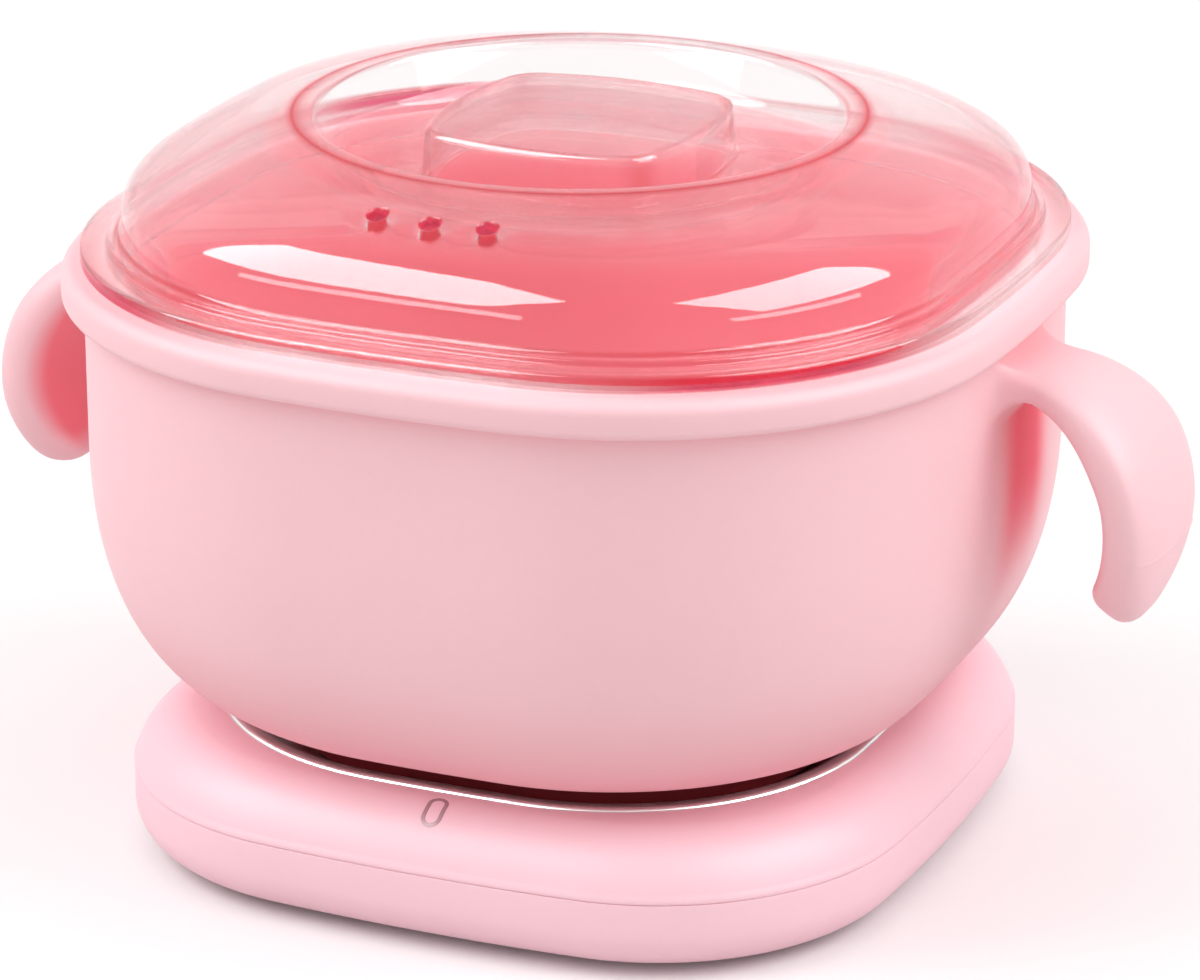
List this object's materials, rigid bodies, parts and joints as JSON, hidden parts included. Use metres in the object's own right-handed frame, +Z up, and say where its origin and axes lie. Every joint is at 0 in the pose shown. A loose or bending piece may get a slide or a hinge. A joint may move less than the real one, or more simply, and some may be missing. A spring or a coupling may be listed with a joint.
{
  "type": "candle wax melter",
  "caption": "Pink silicone melting pot with two hook ears and a clear domed lid, standing on a flat square heated base with a touch power mark and a rear mains socket.",
  "frame": {"origin": "middle of the footprint, on the surface that the rubber feet stand on", "axes": "+Z up; -Y is the front, with the power mark; +Y the rear, with the mains inlet; the two ears of the pot point along +X and -X"},
  "size_m": [0.1826, 0.14, 0.107],
  "materials": {
    "clear_lid": "clear, colourless, gloss",
    "pot_silicone": "pale pink silicone, soft satin",
    "base_plastic": "pink, satin moulded",
    "feet_rubber": "matt",
    "mark_grey": "satin",
    "plate_metal": "brushed",
    "disc_metal": "satin",
    "seal_rubber": "matt",
    "mica": "matt, mottled",
    "steel": "satin",
    "component_black": "matt",
    "component_white": "satin",
    "component_yellow": "gloss",
    "board_green": "satin",
    "fuse_glass": "clear",
    "lamp_clear": "clear",
    "contact_brass": "satin",
    "wire_red": "satin"
  },
  "bodies": {
    "base": {"base_shell": "base_plastic", "base_cover": "base_plastic", "rubber_feet": "feet_rubber", "housing_screws": "steel", "power_mark": "mark_grey", "heater_plate": "plate_metal", "plate_seal": "seal_rubber", "mica_heater": "mica", "pressure_plate": "plate_metal", "pressure_nuts": "steel", "plate_nuts": "steel", "heat_shield": "steel", "shield_screws": "steel", "thermistor": "component_black", "thermal_fuse": "disc_metal", "fuse_clip": "steel", "control_board": "board_green", "board_screws": "steel", "triac": "component_black", "film_capacitor": "component_yellow", "drum_capacitor": "component_black", "board_fuse": "fuse_glass", "controller_chip": "component_black", "indicator_lamp": "lamp_clear", "touch_spring": "steel", "terminal_blocks": "component_white", "mains_inlet": "component_black", "inlet_pins": "contact_brass", "mains_wires": "wire_red", "heater_leads": "component_white", "sensor_lead": "component_black"},
    "pot": {"wax_pot": "pot_silicone", "pot_heat_disc": "disc_metal"},
    "lid": {"lid": "clear_lid"}
  },
  "joints": [
    {"name": "pot_lift", "type": "slide", "parent": "base", "child": "pot", "axis": [0, 0, 1], "range_m": [0, 0.04]},
    {"name": "lid_lift", "type": "slide", "parent": "pot", "child": "lid", "axis": [0, 0, 1], "range_m": [0, 0.04]}
  ]
}
